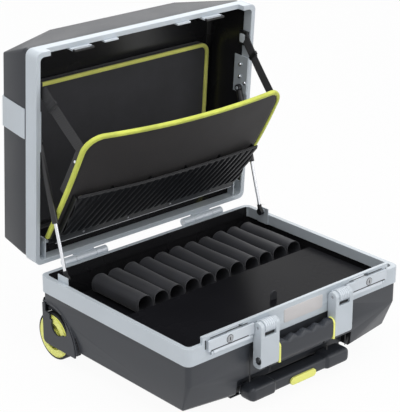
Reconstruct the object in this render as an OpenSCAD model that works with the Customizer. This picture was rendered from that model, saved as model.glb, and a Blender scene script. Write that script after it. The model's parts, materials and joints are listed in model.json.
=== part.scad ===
// Rolling hard case lying on its large face with the lid open.
// Twin tray halves, a lift-out tool board, a folding tool pallet, two gas
// struts, two latches, a carry handle and a two stage pull-out trolley.
// X runs along the hinge, Y goes to the back, Z goes up from the floor.

/* [Case] */
// Outside width along the hinge
case_width = 495; // [420:5:560]
// Outside depth between the two bands
case_depth = 390; // [330:5:450]
// Base depth from the rim plane to the shell bottom
base_depth = 124; // [100:1:140]
// Lid depth from the rim plane to the shell top
lid_depth = 112; // [90:1:140]
// Lid opening angle in the drawn pose
lid_angle = 86; // [0:1:90]
// Distance from the base's middle back to the origin, midway along the open case
open_middle = 50; // [40:1:60]
// Outer corner radius of the bands
corner_radius = 12; // [8:1:16]
// Wall thickness of both shells
shell_wall = 3; // [2:0.5:4]
// Depth at which the base corner facets begin
base_facet_top = 68; // [50:1:80]
// Depth at which the lid corner facets begin
lid_facet_top = 44; // [34:1:60]
// Chamfer of the shells' far edges
far_chamfer = 5; // [3:1:8]

/* [Bands] */
// Height of the base band
base_band = 31; // [24:1:36]
// Height of the lid band
lid_band_height = 30; // [24:1:36]
// Thickness of the band's outer wall and inner flange
band_wall = 2.5; // [2:0.5:3]
// Width of the band's flat lip
lip_width = 9; // [8:0.5:12]
// Thickness of the band's flat lip
lip_thick = 4; // [3:0.5:5]
// Height of the band's inner flange below the lip
flange_height = 16; // [10:1:20]
// Clearance between shell wall and band walls
shell_gap = 0.5; // [0.3:0.1:0.6]
// Distance of the raised front wall's ends from the case sides
wall_margin = 31; // [22:0.5:45]
// Height of the raised front wall
front_wall_height = 13.5; // [10:0.5:16]
// Thickness of the raised front wall
front_wall_thick = 6; // [4:0.5:6]
// Gap between the raised wall and the lid above it
front_wall_gap = 0.5; // [0.3:0.1:1]

/* [Hinges] */
// Distance of the hinge axis behind the band
hinge_offset = 11; // [9:0.5:14]
// Knuckle radius
knuckle_radius = 7.5; // [6:0.5:8]
// Hinge pin radius
hinge_pin_radius = 2.5; // [2:0.5:3]
// Inner end of each hinge
hinge_inner = 92; // [70:1:110]
// Outer end of each hinge
hinge_outer = 188; // [160:1:210]
// Inner end of the middle knuckle
knuckle_start = 117; // [100:1:130]
// Outer end of the middle knuckle
knuckle_end = 162; // [140:1:175]
// Running clearance of pins
pin_clearance = 0.06; // [0.02:0.02:0.1]

/* [Struts] */
// Distance of each strut from the case side
strut_inset = 17; // [14:0.5:27]
// Lid stud position along the lid
lid_stud_y = -30; // [-60:1:0]
// Lid stud height above the rim plane
lid_stud_z = 15; // [10:1:20]
// Base stud position along the base
base_stud_y = 140; // [110:1:160]
// Base stud height above the rim plane
base_stud_z = 5; // [0:1:10]
// Strut tube radius
tube_radius = 5.5; // [5:0.5:6]
// Strut tube length from its stud
tube_length = 142; // [130:1:150]
// Strut rod radius
rod_radius = 3; // [2.5:0.5:3.5]
// Rod length kept inside the tube when extended
rod_overlap = 25; // [20:1:40]

/* [Latches] */
// Distance of each latch flap from the case side
latch_margin = 39.5; // [34:0.5:46]
// Latch flap width
latch_width = 99; // [90:1:104]
// Latch flap top above the rim plane
latch_top = 6; // [4:0.5:8]
// Latch flap bottom below the rim plane
latch_bottom = 12.5; // [11:0.5:14]
// Latch pivot depth below the rim plane
latch_pivot_z = 17; // [16:0.5:18]
// Middle of the latch nose from the flap's inner end
nose_offset = 39; // [32:1:49]
// Width of the latch nose
nose_width = 32; // [24:1:36]
// Lock cylinder radius
lock_radius = 4.5; // [4:0.5:5]
// Lock cylinder from the flap's inner end
lock_offset = 54; // [44:1:70]

/* [Carry handle] */
// Gap between each arm and the latch flap beside it
arm_gap = 1; // [1:0.5:4]
// Width of each arm
arm_width = 42; // [36:1:42]
// Thickness of arms and grip from front to back
arm_thick = 20; // [16:1:22]
// Distance of the handle pivot in front of the band
handle_pivot_y = 11; // [11:0.5:13]
// Depth of the handle pivot below the rim plane
handle_pivot_z = 2; // [0:0.5:4]
// Lowest point of the arms below the rim plane
arm_drop = 75; // [65:1:85]
// Height of the grip bar
grip_height = 37; // [30:1:40]
// Barrel radius
barrel_radius = 10.6; // [9:0.2:11]
// Barrel width
barrel_width = 24; // [20:1:26]
// Thickness of the collars at the grip ends
collar_thick = 4; // [3:0.5:5]

/* [Wheels] */
// Wheel radius
wheel_radius = 44; // [40:1:50]
// Wheel width
wheel_width = 26; // [20:1:28]
// Distance of the wheel's outer face from the case side
wheel_inset = 6.5; // [6:0.5:10]
// Wheel centre in front of the band's rear face
wheel_setback = 26; // [20:1:40]
// Tyre thickness
tyre_thick = 4; // [3.5:0.5:8]
// Axle radius
axle_radius = 4; // [3:0.5:6]
// Radius of the round cover
cover_radius = 74; // [68:1:78]
// Cover centre in front of the band's rear face
cover_setback = 20; // [15:1:30]
// Radius of the window in the cover
window_radius = 17; // [12:0.5:18]

/* [Trolley] */
// Distance of each tube from the middle
tube_x = 95; // [80:1:105]
// Depth of the housing below the base
housing_depth = 19; // [18:0.5:24]
// Height of the front feet below the housing
foot_height = 13; // [8:0.5:18]
// Half width of the recess that holds the grip
recess_half = 135; // [126:1:140]
// Grip half length
pull_grip_half = 118; // [105:1:125]
// Middle of the release button
button_x = 4; // [-10:1:10]
// Release button length
button_length = 60; // [40:1:70]
// Release button height
button_height = 14; // [8:0.5:15]

/* [Tool board] */
// Distance of the boards' side edges from the case sides
board_inset = 25.5; // [25:0.5:36]
// Depth of the front platform below the rim plane
platform_depth = 20; // [18:1:25]
// Step between the front platform and the sleeve floor
board_step = 26; // [18:1:30]
// Spacing of the sleeves
sleeve_pitch = 35.5; // [35:0.5:42]
// Gap between the board's left edge and the first sleeve
sleeve_margin = 52.75; // [30:0.25:60]
// Sleeve width
sleeve_width = 34.5; // [30:0.5:34.5]
// Sleeve height
sleeve_height = 35; // [26:1:36]
// Sleeve length
sleeve_length = 130; // [110:1:145]

/* [Pallet] */
// Pallet hinge position along the lid
pallet_y = 159; // [150:1:165]
// Pallet hinge height above the lid's rim plane
pallet_z = 11; // [9:1:14]
// Lean of the pallet out of the lid
pallet_lean = 26; // [0:1:30]
// Distance of the pallet's side edges from the case sides
pallet_inset = 30.5; // [30:0.5:45]
// Height of the pallet board from its hinge
pallet_height = 259; // [220:1:265]
// Radius of the pallet's upper corners
pallet_corner = 30; // [15:1:40]
// Width of the soft edge trim
piping_width = 8; // [6:0.5:10]
// Number of slanted ribs on the pocket
rib_count = 22; // [16:1:26]

/* [Hidden] */
$fn = 64;
half_w = case_width / 2;
half_d = case_depth / 2;
rim_height = base_depth + housing_depth + foot_height;
front_wall_half = half_w - wall_margin;
strut_x = half_w - strut_inset;
latch_inner = half_w - latch_margin - latch_width;
latch_end = latch_inner + latch_width;
nose_centre = latch_inner + nose_offset;
lock_x = latch_inner + lock_offset;
arm_inner = latch_inner - arm_gap - arm_width;
grip_half = arm_inner - collar_thick;
wheel_outer_x = half_w - wheel_inset;
wheel_inner_x = wheel_outer_x - wheel_width;
wheel_y = half_d - wheel_setback;
cover_y = half_d - cover_setback;
board_half = half_w - board_inset;
board_back = half_d - 30;
pallet_half = half_w - pallet_inset;
pocket_half = pallet_half - 12;
first_sleeve = -board_half + sleeve_margin + sleeve_width / 2;
sleeve_count = floor((board_half - sleeve_width / 2 - first_sleeve) / sleeve_pitch) + 1;
shell_inset = band_wall + shell_gap;
side_x = half_w - shell_inset;
side_y = half_d - shell_inset;
flange_x = half_w - lip_width;
flange_y = half_d - lip_width;
hinge_y = half_d + hinge_offset;
lid_front = front_wall_height + front_wall_gap;
wheel_z = wheel_radius - rim_height;
cover_z = -base_depth;
well_radius = wheel_radius + 3;
rail_end = wheel_y - well_radius - 30;
seat_x = half_w - 3.5;
document_z = lid_depth - 17;
document_top = 95 - half_d;
document_low = half_d - 27;
latch_y = -half_d - 3.5;
arm_y = -half_d - handle_pivot_y;
board_floor = platform_depth + board_step;
rail_low = max(board_floor + 10, min(board_floor + 20, base_facet_top - 1));
lid_cos = cos(lid_angle);
lid_sin = sin(lid_angle);
stud_up = lid_stud_y - hinge_y;
stud_world_y = hinge_y + stud_up * lid_cos + lid_stud_z * lid_sin;
stud_world_z = lid_stud_z * lid_cos - stud_up * lid_sin;
strut_dy = base_stud_y - stud_world_y;
strut_dz = base_stud_z - stud_world_z;
strut_length = sqrt(strut_dy * strut_dy + strut_dz * strut_dz);
strut_turn = atan2(strut_dy, -strut_dz);
tube_rel_z = -base_depth - 8;

// Helpers

module at_rim() {
  translate([0, -open_middle, rim_height]) children();
}

module in_lid() {
  at_rim() translate([0, hinge_y, 0])
    rotate([-lid_angle, 0, 0])
      translate([0, -hinge_y, 0]) children();
}

module in_pallet() {
  in_lid()
    translate([0, pallet_y, pallet_z])
      rotate([pallet_lean, 0, 0]) children();
}

module in_strut(side) {
  at_rim()
    translate([side * strut_x, stud_world_y, stud_world_z])
      rotate([strut_turn, 0, 0]) children();
}

module box(lo, hi) {
  translate(lo) cube(hi - lo);
}

module both_sides() {
  children();
  mirror([1, 0, 0]) children();
}

module on_side(side) {
  if (side < 0) mirror([1, 0, 0]) children();
  else children();
}

module rounded(w, d, r) {
  square([w - 2 * r, d], center = true);
  square([w, d - 2 * r], center = true);
  for (sx = [-1, 1])
    for (sy = [-1, 1])
      translate([sx * (w / 2 - r), sy * (d / 2 - r)]) circle(r);
}

module ring(outside, inside, low, high) {
  translate([0, 0, low]) linear_extrude(high - low) difference() {
    rounded(case_width - 2 * outside, case_depth - 2 * outside,
      corner_radius - outside / 2);
    rounded(case_width - 2 * inside, case_depth - 2 * inside,
      corner_radius - inside / 2);
  }
}

// A rod lying along X, from x = a to x = b at height z and depth y
module rod_x(r, a, b, y, z) {
  translate([a, y, z]) rotate([0, 90, 0]) cylinder(r = r, h = b - a);
}

// A rod lying along Y, from y = a to y = b
module rod_y(r, a, b, x, z) {
  translate([x, a, z]) rotate([-90, 0, 0]) cylinder(r = r, h = b - a);
}

// Far face outline of a shell: two front corners are cut back
module far_outline(side, cut_y, front_x, front_y, g) {
  polygon([
    [side - g, cut_y + g],
    [front_x - g / 2, front_y + g],
    [-front_x + g / 2, front_y + g],
    [-side + g, cut_y + g],
    [-side + g, side_y - 9 - g],
    [-side + 9 + g, side_y - g],
    [side - 9 - g, side_y - g],
    [side - g, side_y - 9 - g]]);
}

module base_form(g) {
  hull() {
    translate([0, 0, -base_facet_top])
      linear_extrude(base_facet_top - lip_thick + (g > 0 ? 2 : 0))
        rounded(2 * side_x - 2 * g, 2 * side_y - 2 * g, 9 - g / 2, $fn = 32);
    translate([0, 0, -base_depth + far_chamfer + g])
      linear_extrude(0.1) far_outline(side_x - 6.5, 24 - half_d,
        half_w - 111.5, 8 - half_d, g);
    translate([0, 0, -base_depth + g])
      linear_extrude(0.1) far_outline(side_x - 6.5, 24 - half_d,
        half_w - 111.5, 8 - half_d, g + far_chamfer);
  }
}

module lid_form(g) {
  hull() {
    translate([0, 0, lip_thick - (g > 0 ? 2 : 0)])
      linear_extrude(lid_facet_top - lip_thick + (g > 0 ? 2 : 0))
        rounded(2 * side_x - 2 * g, 2 * side_y - 2 * g, 9 - g / 2, $fn = 32);
    translate([0, 0, lid_depth - far_chamfer - g - 0.1])
      linear_extrude(0.1) far_outline(side_x - 6.5, 30 - half_d,
        half_w - 107.5, 8 - half_d, g);
    translate([0, 0, lid_depth - g - 0.1])
      linear_extrude(0.1) far_outline(side_x - 6.5, 30 - half_d,
        half_w - 107.5, 8 - half_d, g + far_chamfer);
  }
}

// Base half

module base_cavity() {
  difference() {
    base_form(shell_wall);
    box([-recess_half - 3, -half_d, -base_depth - 1],
      [recess_half + 3, 33 - half_d, 32 - base_depth]);
    both_sides() {
      rod_x(well_radius + 2.5, wheel_inner_x - 6, half_w + 10, wheel_y,
        wheel_z);
      rod_x(cover_radius + 3, half_w - 14.5, half_w + 10, cover_y, cover_z);
    }
  }
}

module base_shell() {
  color([0.26, 0.27, 0.29]) at_rim() difference() {
    union() {
      difference() {
        base_form(0);
        base_cavity();
      }
      both_sides() intersection() {
        rod_x(cover_radius + 4, half_w - 11, half_w - 1, cover_y, cover_z);
        box([0, cover_y - 85, -base_depth + 0.5],
          [half_w, side_y - 0.5, -base_band - 1]);
      }
    }
    both_sides() {
      rod_x(well_radius, wheel_inner_x - 3, half_w - 10.5, wheel_y, wheel_z);
      rod_x(cover_radius - 4, half_w - 10.6, half_w + 10, cover_y, cover_z);
      rod_x(cover_radius + 1, seat_x, half_w + 10, cover_y, cover_z);
      rod_x(axle_radius, wheel_inner_x - 12, wheel_inner_x, wheel_y, wheel_z);
      box([65, -half_d, 20 - base_depth], [68, 45 - half_d, 33 - base_depth]);
    }
    box([-recess_half, -half_d - 5, -base_depth - 5],
      [recess_half, 30 - half_d, 29 - base_depth]);
    box([-recess_half + 25, -half_d, 29 - base_depth],
      [recess_half - 25, -side_y + 1.2, -base_band - 0.5]);
  }
}

module base_frame() {
  color([0.72, 0.75, 0.78]) at_rim() difference() {
    union() {
      ring(0, lip_width, -lip_thick, 0);
      ring(0, band_wall, -base_band, -lip_thick);
      ring(lip_width - band_wall, lip_width, -lip_thick - flange_height,
        -lip_thick);
      box([-front_wall_half, -half_d, -1],
        [front_wall_half, -half_d + front_wall_thick, front_wall_height]);
      both_sides() {
        for (x = [latch_inner + 4, latch_end - 9.5]) {
          rod_x(3.5, x, x + 4.5, latch_y, -latch_pivot_z);
          box([x, latch_y, -latch_pivot_z - 3.5],
            [x + 4.5, -half_d + 1, -latch_pivot_z + 3.5]);
        }
      }
    }
    both_sides() {
      rod_x(1.5, latch_inner + 3, latch_end - 3, latch_y, -latch_pivot_z);
      box([nose_centre - nose_width / 2 - 2, -half_d - 1, 0.5],
        [nose_centre + nose_width / 2 + 2, -half_d + front_wall_thick + 1,
        10.5]);
      box([nose_centre - 24, -flange_y - 1, -lip_thick - flange_height - 1],
        [nose_centre + 24, -flange_y + 1, 1]);
    }
  }
}

module board_rails() {
  color([0.12, 0.12, 0.13]) at_rim() both_sides() {
    box([board_half - 6, 35 - half_d, -board_floor - 6.2],
      [side_x - shell_wall, rail_end, -board_floor - 3.2]);
    box([side_x - shell_wall - 3, 35 - half_d, -rail_low],
      [side_x - shell_wall, rail_end, -board_floor - 6.2]);
  }
}

module trolley_housing() {
  color([0.2, 0.21, 0.22]) at_rim() difference() {
    box([-tube_x - 30, 33 - half_d, -base_depth - housing_depth],
      [tube_x + 30, half_d - 7, -base_depth]);
    box([-tube_x - 27.5, 32 - half_d, -base_depth - housing_depth + 3],
      [tube_x + 27.5, half_d - 9.5, -base_depth + 1]);
  }
}

module front_feet() {
  color([0.08, 0.08, 0.08]) at_rim() both_sides()
    translate([tube_x - 5, 80 - half_d, -rim_height])
      cylinder(r = 12, h = foot_height);
}

// A square tube along Y
module square_tube(x, w, h, wall, a, b) {
  translate([x, a, tube_rel_z]) rotate([-90, 0, 0]) linear_extrude(b - a)
    difference() {
      square([w, h], center = true);
      square([w - 2 * wall, h - 2 * wall], center = true);
    }
}

module trolley_channels() {
  color([0.6, 0.61, 0.63]) at_rim() both_sides()
    square_tube(tube_x, 20, 16, 1.2, 33 - half_d, half_d - 9.5);
}

module trolley_middle_tubes() {
  color([0.7, 0.71, 0.73]) at_rim() both_sides()
    square_tube(tube_x, 17, 13, 1.2, 31 - half_d, half_d - 17);
}

module trolley_inner_tubes() {
  color([0.7, 0.71, 0.73]) at_rim() both_sides()
    square_tube(tube_x, 14, 10, 1.2, -half_d - 1, half_d - 21);
}

module button_pill(l, h, a, b) {
  translate([button_x, b, -base_depth - 6.5]) rotate([90, 0, 0])
    linear_extrude(b - a) {
      square([l - h, h], center = true);
      translate([-(l - h) / 2, 0]) circle(h / 2);
      translate([(l - h) / 2, 0]) circle(h / 2);
    }
}

module x_bar(a, b, y, z, w, h, r) {
  translate([a, y, z]) rotate([90, 0, 90]) linear_extrude(b - a)
    rounded(w, h, r);
}

module trolley_grip() {
  color([0.1, 0.1, 0.11]) at_rim() difference() {
    union() {
      x_bar(-61, 61, 7 - half_d, -base_depth - 2.5, 30, 25, 8);
      both_sides() x_bar(60, pull_grip_half, 6.5 - half_d,
        -base_depth - 1.5, 35, 27, 6);
    }
    both_sides()
      box([tube_x - 7, -half_d - 1, tube_rel_z - 5],
        [tube_x + 7, 35 - half_d, tube_rel_z + 5]);
    button_pill(button_length + 0.6, button_height + 0.6, -half_d - 15,
      3 - half_d);
  }
}

module trolley_button() {
  color([0.82, 0.87, 0.25]) at_rim()
    button_pill(button_length, button_height, -half_d - 10.5, -half_d - 1);
}

module tyre(side) {
  color([0.09, 0.09, 0.09]) at_rim() on_side(side)
    translate([wheel_inner_x, wheel_y, wheel_z]) rotate([0, 90, 0])
      rotate_extrude() {
        translate([wheel_radius - tyre_thick, 0])
          square([tyre_thick - 2, wheel_width]);
        translate([wheel_radius - 2.1, 2])
          square([2.1, wheel_width - 4]);
        translate([wheel_radius - 2, 2]) circle(2);
        translate([wheel_radius - 2, wheel_width - 2]) circle(2);
      }
}

module rim(side) {
  color([0.82, 0.87, 0.25]) at_rim() on_side(side) difference() {
    union() {
      difference() {
        rod_x(wheel_radius - tyre_thick, wheel_inner_x, wheel_outer_x,
          wheel_y, wheel_z);
        rod_x(wheel_radius - tyre_thick - 4, wheel_outer_x - 6,
          wheel_outer_x + 1, wheel_y, wheel_z);
        rod_x(wheel_radius - tyre_thick - 4, wheel_inner_x - 1,
          wheel_inner_x + 11, wheel_y, wheel_z);
      }
      rod_x(12, wheel_inner_x, wheel_outer_x, wheel_y, wheel_z);
    }
    rod_x(axle_radius + pin_clearance, wheel_inner_x - 1,
      wheel_outer_x - 2, wheel_y, wheel_z);
  }
}

module wheel_axles() {
  color([0.6, 0.6, 0.62]) at_rim() both_sides() {
    rod_x(axle_radius, wheel_inner_x - 10, wheel_outer_x - 3, wheel_y,
      wheel_z);
    rod_x(9, wheel_inner_x - 9, wheel_inner_x - 6, wheel_y, wheel_z);
    rod_x(8, wheel_inner_x - 3, wheel_inner_x - 0.5, wheel_y, wheel_z);
  }
}

module wheel_cover(side) {
  color([0.16, 0.17, 0.18]) at_rim() on_side(side) difference() {
    intersection() {
      rod_x(cover_radius, seat_x, half_w - 0.3, cover_y, cover_z);
      union() {
        box([0, 80, -base_depth - 5], [half_w, side_y - 10, -20]);
        box([0, 80, -base_depth + 5], [half_w, side_y, -20]);
        rod_x(10, seat_x, half_w, side_y - 10, -base_depth + 5);
      }
    }
    translate([seat_x - 1, cover_y, cover_z]) rotate([90, 0, 90])
      linear_extrude(10) polygon([[9, 84], [9, 58], [-4, 56], [-4, 46],
        [-22, 52], [-37, 66], [-37, 84]]);
    rod_x(window_radius, seat_x - 1, half_w + 1, cover_y - 25,
      cover_z + 38);
  }
}

// Latches

module latch(side) {
  color([0.78, 0.81, 0.84]) at_rim() on_side(side) difference() {
    union() {
      box([latch_inner, latch_y - 2.5, -latch_bottom],
        [latch_end, latch_y + 1.5, latch_top]);
      rod_x(3.5, latch_inner + 9, latch_end - 10, latch_y,
        -latch_pivot_z);
      box([latch_inner + 9, latch_y - 2, -latch_pivot_z],
        [latch_end - 10, latch_y + 1.5, -latch_bottom + 1]);
      box([nose_centre - nose_width / 2, latch_y, 2],
        [nose_centre + nose_width / 2, -flange_y + 3.5, 5]);
    }
    rod_x(1.5 + pin_clearance, latch_inner, latch_end, latch_y,
      -latch_pivot_z);
    rod_y(lock_radius + pin_clearance, latch_y - 5, latch_y + 5, lock_x,
      -3.5);
  }
}

module lock(side) {
  color([0.75, 0.76, 0.78]) at_rim() on_side(side) difference() {
    union() {
      rod_y(lock_radius, latch_y - 3.3, latch_y + 2.8, lock_x, -3.5);
      box([lock_x - 3, latch_y + 1.7, -12], [lock_x + 3, latch_y + 2.9, -3.5]);
    }
    box([lock_x - 0.6, latch_y - 4, -6], [lock_x + 0.6, latch_y - 1.8, -1]);
  }
}

module latch_pins() {
  color([0.7, 0.71, 0.73]) at_rim() both_sides()
    rod_x(1.5, latch_inner + 4, latch_end - 5, latch_y, -latch_pivot_z);
}

// Carry handle

module handle_arm(side) {
  color([0.72, 0.75, 0.78]) at_rim() on_side(side) difference() {
    union() {
      rod_x(arm_thick / 2, arm_inner, arm_inner + arm_width, arm_y,
        -handle_pivot_z);
      box([arm_inner, arm_y - arm_thick / 2, -arm_drop],
        [arm_inner + arm_width, arm_y + arm_thick / 2, -handle_pivot_z]);
    }
    box([arm_inner + (arm_width - barrel_width) / 2 - 0.5, arm_y - 20,
      -handle_pivot_z - 15],
      [arm_inner + (arm_width + barrel_width) / 2 + 0.5, arm_y + 20, 20]);
    rod_x(2.5 + pin_clearance, arm_inner - 1, arm_inner + arm_width + 1,
      arm_y, -handle_pivot_z);
    rod_x(2, arm_inner + arm_width - 10, arm_inner + arm_width + 1,
      arm_y - 4, 17 - arm_drop);
  }
}

module grip_profile(grow) {
  translate([arm_y, -arm_drop + grip_height / 2]) {
    translate([0, -4]) square([arm_thick - 1 + grow, grip_height - 8 + grow],
      center = true);
    translate([0, grip_height / 2 - 9.5])
      circle((arm_thick - 1 + grow) / 2);
  }
}

module along_x(a, b) {
  translate([a, 0, 0]) rotate([90, 0, 90]) linear_extrude(b - a) children();
}

module handle_grip() {
  color([0.13, 0.13, 0.14]) at_rim() difference() {
    along_x(-grip_half, grip_half) grip_profile(-1);
    for (i = [-1.5:1.5])
      rod_y(20, arm_y - 15, arm_y + 15, i * grip_half * 0.45,
        -arm_drop + grip_height + 15.5);
  }
}

module handle_rings() {
  color([0.82, 0.87, 0.25]) at_rim() both_sides()
    along_x(grip_half, arm_inner) grip_profile(0.6);
}

module handle_screws() {
  color([0.55, 0.56, 0.58]) at_rim() both_sides() {
    rod_x(2, arm_inner + arm_width - 10, arm_inner + arm_width + 0.5,
      arm_y - 4, 17 - arm_drop);
    rod_x(4, arm_inner + arm_width, arm_inner + arm_width + 1.5, arm_y - 4,
      17 - arm_drop);
  }
}

module handle_barrels() {
  color([0.78, 0.81, 0.84]) at_rim() both_sides() {
    middle = arm_inner + arm_width / 2;
    difference() {
      union() {
        rod_x(barrel_radius, middle - barrel_width / 2,
          middle + barrel_width / 2, arm_y, -handle_pivot_z);
        box([middle - barrel_width / 2, arm_y, -handle_pivot_z - 7],
          [middle + barrel_width / 2, -half_d, -handle_pivot_z + 7]);
        for (i = [0:5])
          rod_x(barrel_radius + 0.9, middle - 11.5 + i * 4.3,
            middle - 10 + i * 4.3, arm_y, -handle_pivot_z);
      }
      box([0, -half_d, -40], [half_w, 0, 40]);
      rod_x(2.5, 0, half_w, arm_y, -handle_pivot_z);
    }
  }
}

module handle_pins() {
  color([0.6, 0.6, 0.62]) at_rim() both_sides()
    rod_x(2.5, arm_inner + 1, arm_inner + arm_width - 1, arm_y,
      -handle_pivot_z);
}

// Hinges

module hinge_base_leaves() {
  color([0.78, 0.81, 0.84]) at_rim() both_sides() difference() {
    union() {
      box([hinge_inner, half_d, -22], [hinge_outer, half_d + 2, -3]);
      for (e = [[hinge_inner, knuckle_start - 0.25],
          [knuckle_end + 0.25, hinge_outer]]) {
        rod_x(knuckle_radius, e[0], e[1], hinge_y, 0);
        box([e[0], half_d + 1, -7.5], [e[1], hinge_y, -3]);
      }
    }
    rod_x(hinge_pin_radius, hinge_inner - 1, hinge_outer + 1, hinge_y, 0);
  }
}

module hinge_lid_leaves() {
  color([0.78, 0.81, 0.84]) in_lid() both_sides() difference() {
    union() {
      box([hinge_inner, half_d, 3], [hinge_outer, half_d + 2, 22]);
      rod_x(knuckle_radius, knuckle_start + 0.25, knuckle_end - 0.25,
        hinge_y, 0);
      box([knuckle_start + 0.25, half_d + 1, 3],
        [knuckle_end - 0.25, hinge_y, 7.5]);
    }
    rod_x(hinge_pin_radius + pin_clearance, hinge_inner - 1,
      hinge_outer + 1, hinge_y, 0);
  }
}

module hinge_pins() {
  color([0.7, 0.71, 0.73]) at_rim() both_sides()
    rod_x(hinge_pin_radius, hinge_inner, hinge_outer, hinge_y, 0);
}

module hinge_screws() {
  color([0.65, 0.66, 0.68]) at_rim() both_sides()
    for (x = [hinge_inner + 13, (hinge_inner + hinge_outer) / 2,
        hinge_outer - 13])
      rod_y(3.5, half_d + 2, half_d + 3.2, x, -15);
}

// Gas struts

module strut_tube(side) {
  color([0.08, 0.08, 0.09]) in_strut(side) difference() {
    union() {
      translate([0, 0, -tube_length]) cylinder(r = tube_radius,
        h = tube_length - 5);
      on_side(side) rod_x(6.5, -4, 4, 0, 0);
    }
    translate([0, 0, -tube_length - 1]) cylinder(r = rod_radius + 0.09,
      h = tube_length - 12);
    rod_x(3 + pin_clearance, -8, 8, 0, 0);
  }
}

module strut_rod(side) {
  color([0.8, 0.81, 0.83]) in_strut(side)
    translate([0, 0, -strut_length + 6])
      cylinder(r = rod_radius, h = strut_length - 6 - tube_length
        + rod_overlap);
}

module strut_socket(side) {
  color([0.08, 0.08, 0.09]) in_strut(side) difference() {
    union() {
      on_side(side) rod_x(6.5, -4, 3, 0, -strut_length);
      translate([0, 0, -strut_length]) cylinder(r = 4.2, h = 14);
    }
    translate([0, 0, -strut_length + 6]) cylinder(r = rod_radius, h = 20);
    on_side(side) box([3, -20, -strut_length - 20], [20, 20, 20]);
  }
}

module base_studs() {
  color([0.72, 0.75, 0.78]) at_rim() both_sides() {
    box([flange_x - 2, base_stud_y - 14, -lip_thick - flange_height],
      [flange_x, base_stud_y + 14, base_stud_z + 7]);
    rod_x(4.5, strut_x + 3.5, flange_x - 1.5, base_stud_y, base_stud_z);
  }
}

module lid_brackets() {
  color([0.72, 0.75, 0.78]) in_lid() both_sides() {
    box([flange_x - 2, lid_stud_y - 61, 0.5],
      [flange_x, lid_stud_y + 12, 36]);
    rod_x(5, strut_x + 4.2, flange_x - 1.5, lid_stud_y, lid_stud_z);
    rod_x(3, strut_x - 5, flange_x - 1, lid_stud_y, lid_stud_z);
  }
}

module bracket_screws() {
  color([0.5, 0.51, 0.53]) in_lid() both_sides()
    for (p = [44, 20])
      rod_x(3.5, flange_x - 3.4, flange_x - 2, lid_stud_y - p,
        lid_stud_z + 4);
}

// Tool board

module tool_board() {
  color([0.13, 0.13, 0.14]) at_rim() {
    box([-board_half, -3, -board_floor - 3],
      [board_half, board_back, -board_floor]);
    box([-board_half, -3, -board_floor - 1], [board_half, 0,
      -platform_depth]);
    box([-board_half, -board_back, -platform_depth - 3], [board_half, -1,
      -platform_depth]);
    both_sides()
      box([board_half - 3, -board_back, -board_floor - 3], [board_half, -1,
        -platform_depth - 1]);
    box([-board_half, -board_back, -board_floor - 3],
      [board_half, 3 - board_back, -platform_depth - 1]);
  }
}

module tool_sleeves() {
  color([0.17, 0.18, 0.2]) at_rim()
    for (i = [0:sleeve_count - 1])
      translate([first_sleeve + i * sleeve_pitch, board_back - 15,
          -board_floor + sleeve_height / 2])
        rotate([90, 0, 0]) linear_extrude(sleeve_length) difference() {
          rounded(sleeve_width, sleeve_height, sleeve_height * 0.42);
          rounded(sleeve_width - 3, sleeve_height - 3,
            sleeve_height * 0.42 - 1.5);
        }
}

module board_tab() {
  color([0.3, 0.31, 0.27]) at_rim() {
    box([8, -119, -platform_depth], [22, -116, -platform_depth + 9]);
    rod_y(7, -119, -116, 15, -platform_depth + 9);
  }
}

// Lid half

module lid_shell() {
  color([0.26, 0.27, 0.29]) in_lid() difference() {
    lid_form(0);
    lid_form(shell_wall);
    box([-front_wall_half - 4, -half_d, 0],
      [front_wall_half + 4, -flange_y, lid_front + 4]);
  }
}

module lid_frame() {
  color([0.72, 0.75, 0.78]) in_lid() {
    difference() {
      union() {
        ring(0, lip_width, 0, lip_thick);
        ring(0, band_wall, lip_thick, lid_band_height);
        ring(lip_width - band_wall, lip_width, lip_thick,
          lip_thick + flange_height);
      }
      box([-front_wall_half - 1, -half_d - 1, -1],
        [front_wall_half + 1, -flange_y + 0.1, lid_front]);
      both_sides()
        box([flange_x - 1, base_stud_y - 20, lip_thick],
          [flange_x + band_wall + 0.3, base_stud_y + 20, 21]);
    }
    box([-front_wall_half - 1, -half_d, lid_front],
      [front_wall_half + 1, -flange_y, lid_front + 4]);
    box([-front_wall_half - 1, -flange_y - band_wall, lid_front + 3],
      [front_wall_half + 1, -flange_y, lid_front + 18]);
    both_sides()
      box([front_wall_half + 1, -half_d, 0],
        [front_wall_half + 3.5, -flange_y, lid_front + 4]);
  }
}

module lid_band() {
  color([0.72, 0.75, 0.78]) in_lid() intersection() {
    difference() {
      lid_form(-1.5);
      lid_form(0);
    }
    box([-half_w, 108 - half_d, lid_band_height + 5],
      [half_w, 163 - half_d, lid_depth + 5]);
  }
}

module lid_catches() {
  color([0.78, 0.81, 0.84]) in_lid() both_sides() {
    difference() {
      box([nose_centre - nose_width / 2 - 5, -flange_y, -1],
        [nose_centre + nose_width / 2 + 5, -flange_y + 3.5, 30]);
      box([nose_centre - nose_width / 2 - 2, -flange_y - 1, 1.5],
        [nose_centre + nose_width / 2 + 2, -flange_y + 5, 8.5]);
    }
    box([arm_inner + 1, -flange_y, lid_front - 5],
      [arm_inner + 31, -flange_y + 3, 30]);
  }
}

module stand_feet() {
  color([0.08, 0.08, 0.08]) in_lid() both_sides()
    rod_y(10, side_y, wheel_y + wheel_radius, half_w - 57.5,
      lid_depth - 37);
}

// Outline of a board from y = top to y = low with its top corners rounded
module board_outline(half, top, low, r) {
  polygon([[-half, top + r], [-half, low], [half, low], [half, top + r]]);
  translate([-half + r, top]) square([2 * half - 2 * r, r + 0.1]);
  for (sx = [-1, 1])
    translate([sx * (half - r), top + r]) circle(r);
}

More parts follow.
